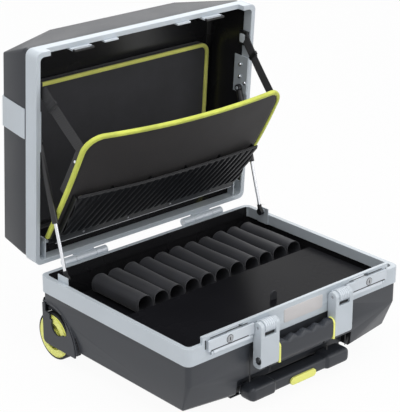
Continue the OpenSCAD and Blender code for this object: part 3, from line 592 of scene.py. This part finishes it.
# Carry a flat profile along a path: across = path direction x normal, up = normal.
def along(path, profile, normal):
    step = np.gradient(path, axis=0)
    step /= np.linalg.norm(step, axis=1, keepdims=True)
    up = np.broadcast_to(np.asarray(normal, float), path.shape)
    across = np.cross(step, up)
    across /= np.linalg.norm(across, axis=1, keepdims=True)
    return (path[:, None] + profile[None, :, :1] * across[:, None]
            + profile[None, :, 1:] * up[:, None])


# Closed superellipse outline: |x/a|^power + |y/b|^power = 1.
def softSquare(width, height, power=3.0, count=16):
    t = np.linspace(0, 2 * np.pi, count, endpoint=False) + np.pi / count
    c, s = np.cos(t), np.sin(t)
    return np.stack([np.sign(c) * np.abs(c) ** (2 / power) * width / 2,
                     np.sign(s) * np.abs(s) ** (2 / power) * height / 2], -1)


# Open outline up the left side, round both top corners and down the right, in x and y.
def arch(half, top, low, r, count=26):
    t = np.linspace(0, np.pi / 2, count)
    left = np.stack([-half + r - r * np.cos(t), top + r - r * np.sin(t)], -1)
    right = np.stack([half - r + r * np.sin(t), top + r - r * np.cos(t)], -1)
    side = np.linspace(0, 1, 50)[:, None]
    a = np.array([-half, low]) * (1 - side) + left[0] * side
    b = left[-1] * (1 - side) + right[0] * side
    c = right[-1] * (1 - side) + np.array([half, low]) * side
    return np.concatenate([a[:-1], left, b[1:-1], right, c[1:]])


# Flat sheet with two round corners: each row spans its own half width.
def sheetOf(half, top, low, r, rows=60, columns=60):
    v = np.concatenate([np.linspace(0, 1, 24) ** 1.6 * r, np.linspace(r, low - top, rows)[1:]])
    inset = np.where(v < r, r - np.sqrt(np.maximum(r * r - (r - v) ** 2, 0)), 0.0)
    u = np.linspace(-1, 1, columns)
    x = u[None] * (half - inset)[:, None]
    y = np.broadcast_to((top + v)[:, None], x.shape)
    return np.stack([x, y, np.zeros_like(x)], -1)


def addSolidify(obj, thickness, offset=0.0):
    s = obj.modifiers.new("solidify", "SOLIDIFY")
    s.thickness, s.offset, s.use_even_offset = thickness / 1000, offset, True


# Folding pallet
pallet = {"half": 219.0, "height": 259.0, "corner": 34.0, "low": -5.5, "trim": 8.0,
          "thickness": 4.0, "bowMiddle": 14.0, "bowRight": 9.0, "bellyLeft": 3.0,
          "belly": 8.0}
pocket = {"half": 205.0, "top": -130.0, "low": -27.0, "front": -14.2, "back": -1.9, "ribs": 26,
          "ribSteps": 14, "ribHeight": 2.9, "ribShare": 2.5, "ribFade": 3.0, "slant": 20.0,
          "slantFrom": -71.0, "dividers": 6, "dividerGap": 6.0, "cloth": 1.0, "wall": 1.8,
          "hemWide": 5.0, "hemHigh": 3.4, "hemProud": 0.6}
rail = {"half": 208.0, "steps": 80, "rivets": (-150, -50, 50, 150), "rivetY": -15.0,
        "rivetZ": -13.2, "rivetRadius": 2.2, "rivetHeight": 1.2, "rivetSink": 2.0,
        "sinkOver": 140.0}
railBars = {  # y, z, width, depth, power of the section, finish
    "rail_bar": (-14.5, -7.5, 22, 11, 8, "blackPlasticAndShade"),
    "rail_edge_high": (-25.4, -13.4, 1.3, 1.2, 2, "pinSteel"),
    "rail_edge_low": (-4.6, -13.2, 1.2, 1.2, 2, "drawnAluminium"),
}


# Bend of the loaded sheet: its top edge sags forward in the middle and at the right.
def bowed(p):
    t = p[..., 0] / pallet["half"]
    v = np.clip(-p[..., 1] / pallet["height"], 0, 1.03)
    out = np.array(p, float)
    out[..., 2] -= v ** 1.5 * (pallet["bowMiddle"] * (1 - t * t)
                               + pallet["bowRight"] * (1 + t) / 2)
    k = np.clip((1 + t) * 1.5, 0, 1)
    belly = pallet["bellyLeft"] * (1 - k) + pallet["belly"] * k
    out[..., 2] -= belly * np.sin(np.pi * np.clip(v, 0, 1))
    return out


def palletBoard():
    edge = pallet["trim"] / 2 + 0.2
    flat = sheetOf(pallet["half"] - edge, -pallet["height"] + edge, pallet["low"],
                   pallet["corner"] - edge)
    mesh = meshOf("pallet_sheet", [openSheet(inPallet(bowed(flat)))], False)
    obj = newPiece("pallet_sheet", mesh, "boardCloth", "pallet")
    addSolidify(obj, pallet["thickness"])
    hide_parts("pallet_board")


def trimPiece(name, path, profile, place, body, replaced, material="pipingCloth"):
    grid = along(np.concatenate([path, np.zeros((len(path), 1))], 1), profile, (0, 0, 1))
    mesh = meshOf(name, [closedBar(place(grid))])
    obj = newPiece(name, mesh, material, body, 60)
    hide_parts(replaced)


# Ribbed panel: z falls by half a circle over each slanted rib; walls join it to the sheet.
def palletPocket():
    x = np.linspace(-pocket["half"], pocket["half"], pocket["ribs"] * pocket["ribSteps"] + 1)
    y = np.linspace(pocket["top"], pocket["low"], 40)
    xs, ys = np.meshgrid(x, y)
    pitch = 2 * pocket["half"] / pocket["ribs"]
    lean = math.tan(math.radians(pocket["slant"]))
    s = ((xs + (ys - pocket["slantFrom"]) * lean) / pitch) % 1.0 - 0.5
    rib = np.sqrt(np.maximum(0, 1 - (s * pocket["ribShare"]) ** 2)) * pocket["ribHeight"]
    rib *= np.clip(np.minimum(ys - y[0], y[-1] - ys) / pocket["ribFade"], 0, 1) ** 0.5
    panel = np.stack([xs, ys, pocket["front"] - rib], -1)
    mesh = meshOf("pocket_panel", [openSheet(inPallet(bowed(panel)))], False)
    obj = newPiece("pocket_panel", mesh, "blackPlasticAndShade", "pallet", 50)
    addSolidify(obj, pocket["cloth"], 1.0)
    walls = []
    depth = np.linspace(pocket["front"], pocket["back"], 5)
    for xw in np.linspace(-pocket["half"], pocket["half"], pocket["dividers"]):
        yy, zz = np.meshgrid(np.linspace(pocket["top"] + pocket["dividerGap"],
                                         pocket["low"], 30), depth)
        wall = np.stack([np.full_like(yy, xw), yy, zz], -1)
        walls.append(openSheet(inPallet(bowed(wall))))
    xx, zz = np.meshgrid(np.linspace(-pocket["half"], pocket["half"], 80), depth)
    foot = np.stack([xx, np.full_like(xx, pocket["low"]), zz], -1)
    walls.append(openSheet(inPallet(bowed(foot))))
    hem = np.stack([np.linspace(-pocket["half"], pocket["half"], 120),
                    np.full(120, pocket["top"]),
                    np.full(120, pocket["front"] - pocket["hemProud"])], -1)
    mesh = meshOf("pocket_walls", walls, False)
    wallPiece = newPiece("pocket_walls", mesh, "blackPlasticAndShade", "pallet")
    addSolidify(wallPiece, pocket["wall"])
    section = softSquare(pocket["hemWide"], pocket["hemHigh"], 3, 12)
    grid = bowed(along(hem, section, (0, 0, 1)))
    mesh = meshOf("pocket_hem", [closedBar(inPallet(grid))])
    newPiece("pocket_hem", mesh, "webbing", "pallet", 60)
    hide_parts("pallet_loops")


# Low domes for rivets: height x cos(t) over a circle of radius x sin(t).
def domes(name, places, radius, height, place, axis, material, body):
    t, a = np.meshgrid(np.linspace(0.02, np.pi / 2, 6), np.linspace(0, 2 * np.pi, 20, False),
                       indexing="ij")
    shape = np.stack([radius * np.sin(t) * np.cos(a), radius * np.sin(t) * np.sin(a),
                      height * np.cos(t)], -1)
    shape = shape[..., {"x": [2, 0, 1], "z": [0, 1, 2]}[axis[-1]]]
    if axis[0] == "-":
        shape[..., "xyz".index(axis[-1])] *= -1
    grids = [closedBar(place(shape + np.asarray(p, float))) for p in places]
    return newPiece(name, meshOf(name, grids), material, body)


palletBoard()
trimPiece("pallet_trim", arch(pallet["half"], -pallet["height"], -12, pallet["corner"]),
          softSquare(pallet["trim"], 8, 3.2), lambda p: inPallet(bowed(p)), "pallet",
          "pallet_piping")
palletPocket()
# Foot rail of the pallet: a soft square bar with two bright piped edges and flat rivets.
for name, (y, z, wide, deep, power, material) in railBars.items():
    steps = rail["steps"]
    bar = np.stack([np.linspace(-rail["half"], rail["half"], steps), np.full(steps, y),
                    np.full(steps, z)], -1)
    grid = bowed(along(bar, softSquare(wide, deep, power, 16), (0, 0, 1)))
    newPiece(name, meshOf(name, [closedBar(inPallet(grid))]), material, "pallet",
             50)
rivetSpots = [(x, rail["rivetY"],
               rail["rivetZ"] - rail["rivetSink"] * math.cos(x / rail["sinkOver"]))
              for x in rail["rivets"]]
domes("pallet_rivets", rivetSpots, rail["rivetRadius"], rail["rivetHeight"], inPallet, "-z",
      "pinSteel", "pallet")
print("pallet made")

# Papers board in the lid
papers = {"half": 222.0, "top": -100.0, "low": 168.0, "front": 95.0, "depth": 14.0,
          "corner": 20.0, "trim": 8.0, "trimHigh": 5.0, "trimInset": 4.0, "trimLift": -1.2}


def papersBoard():
    flat = sheetOf(papers["half"], papers["top"], papers["low"], papers["corner"])
    flat[..., 2] = papers["front"] + papers["depth"]
    mesh = meshOf("papers_sheet", [openSheet(inLid(flat))], False)
    obj = newPiece("papers_sheet", mesh, "papersCloth", "lid")
    addSolidify(obj, papers["depth"], 1.0)
    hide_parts("document_board")


papersBoard()
trimPiece("papers_trim",
          arch(papers["half"] - papers["trimInset"], papers["top"] + papers["trimInset"],
               papers["low"], papers["corner"] - papers["trimInset"]),
          softSquare(papers["trim"], papers["trimHigh"], 3.2) + [0, papers["trimLift"]],
          lambda p: inLid(p + [0, 0, papers["front"]]), "lid", "document_piping",
          "papersPiping")
print("papers board made")

# Plier sleeves
sleeves = {"count": 11, "pitch": 35.5, "first": -152.0, "width": 34.5, "height": 35.0,
           "floor": -46.0, "back": 150.0, "front": 20.0, "cloth": 1.4, "slant": 5.0,
           "wall": 1.2, "waist": 0.5, "dent": 0.7, "hem": 0.5, "hemEnds": (0.024, 0.978),
           "roundness": 0.88, "wander": 0.6, "phase": 2.1, "slantLength": 1.6,
           "crownFrom": -12.0, "crownOver": 26.0}


# Row of tubes: a ring is x = w cos^0.88, z = h sin^0.88, between round and boxy, cut flat below.
# Its crown leans back at the mouth and wanders a little, and both ends turn over a thin hem.
def sleeveRow():
    g = sleeves
    v = np.concatenate([[0, 0.006, 0.014, 0.022, 0.03], np.linspace(0.06, 0.94, 15),
                        [0.972, 0.98, 0.988, 0.995, 1]])
    t = np.linspace(0, 2 * np.pi, 44, endpoint=False)
    c, s = np.cos(t), np.sin(t)
    atHem = (v < g["hemEnds"][0]) | (v > g["hemEnds"][1])
    hemmed = np.where(atHem, g["hem"], 0.0)[:, None]
    grids = []
    for i in range(g["count"]):
        phase = i * g["phase"]
        w = g["width"] / 2 - g["wall"] - g["waist"] * np.sin(np.pi * v)[:, None]
        h = g["height"] / 2 - g["wall"] - g["dent"] * (np.sin(2.2 * v + phase) ** 2)[:, None]
        x = np.sign(c) * np.abs(c) ** g["roundness"] * (w + hemmed)
        z = np.sign(s) * np.abs(s) ** g["roundness"] * (h + hemmed)
        z = np.where(s < 0, np.maximum(z, -h + g["wall"]), z) + h - g["height"] / 2 + g["cloth"] / 2
        crown = np.clip((z - g["crownFrom"]) / g["crownOver"], 0, 1)
        y = g["front"] + v[:, None] * (g["back"] - g["front"])
        y = y + g["slant"] * crown * (1 - g["slantLength"] * v[:, None]).clip(0, 1)
        x = x + g["wander"] * np.sin(3.1 * v + phase)[:, None] * crown
        grid = np.stack([x + g["first"] + i * g["pitch"], y, z + g["floor"] + g["height"] / 2], -1)
        grids.append((toWorld(grid), False, True, False))
    obj = newPiece("sleeve_row", meshOf("sleeve_row", grids, False), "sleeveCloth", "tool_board",
                   50)
    addSolidify(obj, g["cloth"])
    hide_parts("tool_sleeves")


sleeveRow()
print("sleeves made")

# Pallet straps
strap = {"thickness": 1.5, "lidY": -127.5, "lidZ": 5.0, "lidX": 231.4, "palletX": 217.0,
         "palletY": -226.0, "palletZ": 1.0, "foldShare": 0.24, "widthLeft": 26.0,
         "widthRight": 19.0, "sag": 2.0, "foldStart": 0.015, "foldEnd": 0.06, "foldWide": 0.97,
         "loopAt": 0.25, "loopHalf": 0.024, "loopWider": 4.0, "loopThick": 5.2, "loopLift": 0.7,
         "seams": (0.17, 0.19, 0.29), "seamLong": 0.006, "seamWide": 0.86, "seamThick": 0.5}
tail = {"x": -217.5, "top": -222.0, "low": -120.0, "z": 9.5, "slope": 0.02, "thick": 1.4,
        "wide": 13.0, "rivet": (-218.2, -196.0, 9.0), "rivetRadius": 3.0, "rivetHeight": 2.0}


# Flat webbing on a straight run with a small sag, doubled near the lid's wall; a moulded loop
# holds the fold. Each ring is a soft square as wide as the webbing.
def strapPiece(side, name, wide):
    a = inLid([side * strap["lidX"], strap["lidY"], strap["lidZ"]])
    b = inPallet(bowed(np.array([side * strap["palletX"], strap["palletY"], strap["palletZ"]])))
    run = (b - a) / np.linalg.norm(b - a)
    across = np.cross(run, [side, 0, 0])
    across /= np.linalg.norm(across)
    out = np.cross(across, run)

    def band(low, high, width, thick, count, lift=0.0):
        t = np.linspace(low, high, count)
        path = a + (b - a) * t[:, None] - np.outer(np.sin(np.pi * t) * strap["sag"], [0, 0, 1])
        path = path + out * lift
        section = softSquare(1.0, 1.0, 6, 20)
        grid = (path[:, None] + section[None, :, :1] * across * width
                + section[None, :, 1:] * out * thick)
        return closedBar(grid)

    g, thick = strap, strap["thickness"]
    fold = band(g["foldStart"], g["foldShare"] + g["foldEnd"], wide * g["foldWide"], thick, 24,
                thick + 0.1)
    loop = band(g["loopAt"] - g["loopHalf"], g["loopAt"] + g["loopHalf"], wide + g["loopWider"],
                g["loopThick"], 6, g["loopLift"])
    seams = [band(k, k + g["seamLong"], wide * g["seamWide"], g["seamThick"], 4,
                  thick * 1.5 + 0.15) for k in g["seams"]]
    parts = {name: ([band(0, 1, wide, thick, 60), fold], "webbing"),
             name + "_loop": ([loop], "blackPlasticAndShade"), name + "_seam": (seams, "blackPlasticAndShade")}
    for partName, (grids, material) in parts.items():
        mesh = meshOf(partName, grids)
        mesh.materials.append(mats[material])
        mesh.polygons.foreach_set("use_smooth", np.ones(len(mesh.polygons), bool))
        mesh.set_sharp_from_angle(angle=math.radians(40))
        obj = bpy.data.objects.new(partName, mesh)
        bpy.context.scene.collection.objects.link(obj)
        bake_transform(obj)
        if partName == name:
            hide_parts("strap_left" if side < 0 else "strap_right")


# Tail of the left strap, riveted flat behind the pallet's edge.
def strapTail():
    y = np.linspace(tail["top"], tail["low"], 30)
    path = np.stack([tail["x"] + 0 * y, y, tail["z"] + tail["slope"] * (y - tail["top"])], -1)
    grid = bowed(along(path, softSquare(tail["thick"], tail["wide"], 6, 16), (0, 0, 1)))
    newPiece("webbing_tail", meshOf("webbing_tail", [closedBar(inPallet(grid))]), "webbing",
             "pallet", 50)
    domes("tail_rivet", [bowed(np.array(tail["rivet"]))], tail["rivetRadius"],
          tail["rivetHeight"], inPallet, "-x", "rodChrome", "pallet")


strapTail()
strapPiece(-1, "webbing_left", strap["widthLeft"])
strapPiece(1, "webbing_right", strap["widthRight"])
print("straps made")

# Small fittings
# Flat raised ring facing the front: a short tube profile turned about the y axis.
def ringPiece(name, places, inner, outer, lift, material, body, count=32):
    a = np.linspace(0, 2 * np.pi, count, endpoint=False)
    r = np.array([inner, inner, outer, outer])
    y = np.array([0.0, -lift, -lift, 0.0])
    grids = []
    for p in places:
        ring = np.stack([p[0] + r[None] * np.cos(a)[:, None],
                         np.broadcast_to(p[1] + y, (count, 4)),
                         p[2] + r[None] * np.sin(a)[:, None]], -1)
        grids.append((toWorld(ring), True, True, False))
    return newPiece(name, meshOf(name, grids), material, body)


# Thin pad with a soft square outline; its rim rolls in at the face.
def padPiece(name, centre, width, height, thick, material, body, power=6.0,
             facing="front", place=lambda p: p, count=48):
    outline = softSquare(width, height, power, count)
    roll = thick / min(width, height)
    rows = [(1.0, 0.0), (1.0, 0.6), (1 - 0.25 * roll, 0.9), (1 - 1.2 * roll, 1.0), (0.02, 1.0)]
    grid = np.array([np.insert(outline * scale, 2, lift * thick, axis=1)
                     for scale, lift in rows])
    grid = grid[..., [0, 2, 1] if facing == "front" else [2, 0, 1]]
    if facing == "front":
        grid[..., 1] *= -1
    elif (centre[0] > 0) == (facing == "in"):  # in or out, along x
        grid[..., 0] *= -1
    mesh = meshOf(name, [closedBar(place(grid + np.asarray(centre, float)))])
    return newPiece(name, mesh, material, body)


lock = {"x": 163.0, "front": -201.0, "z": -3.5, "inner": 4.9, "outer": 6.4, "lift": 0.5,
        "shadow": 7.2, "shadowLift": 0.15, "slotWide": 1.9, "slotHigh": 6.2, "slotThick": 0.3,
        "slotProud": 0.75}
bracketBolts = {"spots": ((235.2, -74, 19), (235.2, -50, 19), (236.4, -40, 6)), "radius": 3.6,
                "height": 3.0}
lidButtons = {"spots": ((-238.2, -123.5, 5.5), (-238.2, -36.6, 7.5)), "radius": 3.4,
              "height": 2.6}
# Thin black pads in the gaps round the flaps, the slot under the barrels, the arm wells, and where
# the backdrop would show through the grip recess and the wheel wells: painted shade.
shadePads = {  # right one's centre, width, height, thickness, power, body, slot of, facing
    "flap_gap": ((160, -195.05, 7.6), 82, 1.3, 0.25, 20.0, "base", "base_frame", "front"),
    "flap_groove": ((163, -201.02, -11.5), 82, 1.7, 0.12, 20.0, "latch", "latch_left", "front"),
    "recess_foot": ((119, -163.2, -129), 27, 12, 1.0, 8.0, "base", "trolley_housing", "front"),
    "well_back": ((230, 193.4, -59.5), 27, 30, 1.0, 8.0, "base", "base_shell", "front"),
    "flap_end_gap": ((210.4, -195.05, -1.5), 2.2, 16, 0.25, 12.0, "base", "base_frame", "front"),
    "barrel_slot": ((87, -211.0, -15.2), 25.0, 4.6, 1.0, 12.0, "carry_handle", "handle_grip",
                    "front"),
    "arm_well": ((108.02, -210, -60), 12.6, 13.6, 0.3, 2.0, "carry_handle", "handle_arm_left",
                 "out"),
}
# Thin black lines along the edges of the base's front panel recess: painted shade of the steps.
frontStepShade = {"y": -195.02, "wide": 2.2, "thick": 0.2,  # x, z and height of each seam
              "places": ((-113, -69, 66), (-67, -89, 23), (69, -98, 16), (114, -101, 20))}
sides = (("left", -1), ("right", 1))
for side, s in sides:
    spot = (s * lock["x"], lock["front"], lock["z"])
    latch = f"latch_{side}"
    ringPiece(f"lock_surround_{side}", [spot], lock["inner"], lock["outer"], lock["lift"],
              "pinSteel", latch)
    ringPiece(f"lock_shadow_{side}", [spot], lock["outer"], lock["shadow"], lock["shadowLift"],
              "blackPlasticAndShade", latch)
    # Painted shade: the key slot is a thin black pad on the lock's face, dark in place of the
    # slot's hollow.
    padPiece(f"key_slot_{side}", (spot[0], spot[1] - lock["slotProud"], spot[2]),
             lock["slotWide"], lock["slotHigh"], lock["slotThick"], "blackPlasticAndShade",
             f"lock_{side}", 3.0, count=24)
    # Painted shade: a black pad for each gap, slot and well in the table above, on both sides.
    for name, ((x, y, z), wide, high, thick, power, body, like, facing) in shadePads.items():
        padPiece(f"{name}_{side}", (s * x, y, z), wide, high, thick, "blackPlasticAndShade",
                 latch if body == "latch" else body, power, facing)
    padPiece(f"buckle_{side}", (s * 231.75, -127.5, 14), 17, 13, 1.2, "brightSilver", "lid",
             5.0, "in", inLid, 32)
    domes(f"bracket_bolts_{side}", [(s * x, y, z) for x, y, z in bracketBolts["spots"]],
          bracketBolts["radius"], bracketBolts["height"], inLid, "-x" if s > 0 else "x",
          "rodChrome", "lid")
padPiece("blank_plate", (8.5, -194.9, -7.5), 91, 25, 0.8, "platePaint", "base",
         14.0)
domes("lid_buttons", lidButtons["spots"], lidButtons["radius"], lidButtons["height"], inLid, "x",
      "brightSilver", "lid")
# Painted shade: a black line at each step of the front panel recess.
for i, (x, z, high) in enumerate(frontStepShade["places"]):
    padPiece(f"front_seam_{i}", (x, frontStepShade["y"], z), frontStepShade["wide"], high,
             frontStepShade["thick"], "blackPlasticAndShade", "base", 12.0)

wheel = {"y": 169.0, "z": -112.0, "radii": (25.0, 25.6, 36.9, 37.5), "back": 241.2,
         "front": 243.3, "steps": 64}


# Lime face of a wheel rim: a thin ring flush with the cover's inner side, turned about x.
def rimFace(side, s):
    steps = wheel["steps"]
    a = np.linspace(0, 2 * np.pi, steps, endpoint=False)
    r = np.array(wheel["radii"])
    x = np.array([wheel["back"], wheel["front"], wheel["front"], wheel["back"]])
    ring = np.stack([np.broadcast_to(s * x, (steps, 4)), wheel["y"] + r * np.cos(a)[:, None],
                     wheel["z"] + r * np.sin(a)[:, None]], -1)
    newPiece(f"rim_face_{side}", meshOf(f"rim_face_{side}", [(toWorld(ring), True, True, False)]),
             "rimPlastic", bodyOf[f"rim_{side}"])


for side, s in sides:
    rimFace(side, s)
print("fittings made")

# Grips: rings of soft squares along x, with a width, height and centre for each
pullGrip = {"half": 118.0, "end": 62.0, "blend": 4.0, "round": 11.0, "y": -188.6, "z": -125.6,
            "endWide": 34.6, "endHigh": 26.6, "midWide": 27.0, "midHigh": 21.5, "power": 4.2,
            "midDrop": 1.0, "fine": 5.0}
carryGrip = {"half": 62.0, "y": -206.0, "z": -56.5, "wide": 18.0, "high": 37.0, "power": 4.0,
             "dips": 4, "dipPitch": 27.9, "dipDepth": 4.8, "dipHalf": 12.0,
             "dipFrom": 0.55}


def ringsAlongX(x, y, z, wide, high, power, count=48):
    section = softSquare(1.0, 1.0, power, count)
    across = section[:, 0] * np.reshape(wide, (-1, 1)) + np.reshape(y, (-1, 1))
    upward = section[:, 1] * np.reshape(high, (-1, 1)) + np.reshape(z, (-1, 1))
    shape = (len(x), count)
    return np.stack([np.broadcast_to(x[:, None], shape), np.broadcast_to(across, shape),
                     np.broadcast_to(upward, shape)], -1)


# Pull grip: full end blocks and a slimmer middle, joined by a smooth step; both ends roll in.
def pullGripPiece():
    g = pullGrip
    r, end, fine = g["round"], g["end"], g["fine"]
    roll = r * np.sin(np.linspace(0, np.pi / 2, 9))
    half = np.concatenate([np.linspace(0, end - fine - 1, 12),
                           np.linspace(end - fine, end + fine, 15),
                           np.linspace(end + fine + 1, g["half"] - r - 1, 8),
                           g["half"] - r + roll])
    x = np.concatenate([-half[::-1], half[1:]])
    k = np.clip((np.abs(x) - end) / (2 * g["blend"]) + 0.5, 0, 1)
    k = k * k * (3 - 2 * k)
    inset = r - np.sqrt(np.maximum(r * r - np.clip(np.abs(x) - g["half"] + r, 0, r) ** 2, 0))
    wide = g["midWide"] + (g["endWide"] - g["midWide"]) * k - 2 * inset
    high = g["midHigh"] + (g["endHigh"] - g["midHigh"]) * k - 2 * inset
    grid = ringsAlongX(x, g["y"], g["z"] - g["midDrop"] * (1 - k), wide, high, g["power"])
    mesh = meshOf("pull_grip", [closedBar(grid)])
    obj = newPiece("pull_grip", mesh, "darkPlastic", bodyOf["trolley_grip"],
                   50)
    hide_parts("trolley_grip")


# Carry grip: one soft square carried along x, its top pressed down by a cosine at each finger.
def carryGripPiece():
    g = carryGrip
    x = np.linspace(-g["half"], g["half"], 121)
    grid = ringsAlongX(x, g["y"], g["z"], g["wide"], g["high"], g["power"], 64)
    spots = (np.arange(g["dips"]) - (g["dips"] - 1) / 2) * g["dipPitch"]
    near = np.abs(x[:, None] - spots).min(1) / g["dipHalf"]
    dip = np.where(near < 1, (0.5 + 0.5 * np.cos(np.pi * near)) ** 0.7, 0) * g["dipDepth"]
    up = np.clip((grid[..., 2] - g["z"]) / (g["high"] / 2), 0, 1)
    grid[..., 2] -= dip[:, None] * np.clip((up - g["dipFrom"]) / (1 - g["dipFrom"]), 0, 1)
    mesh = meshOf("carry_grip", [closedBar(grid)])
    obj = newPiece("carry_grip", mesh, "darkPlastic", bodyOf["handle_grip"],
                   60)
    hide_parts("handle_grip")


pullGripPiece()
carryGripPiece()
print("grips made")
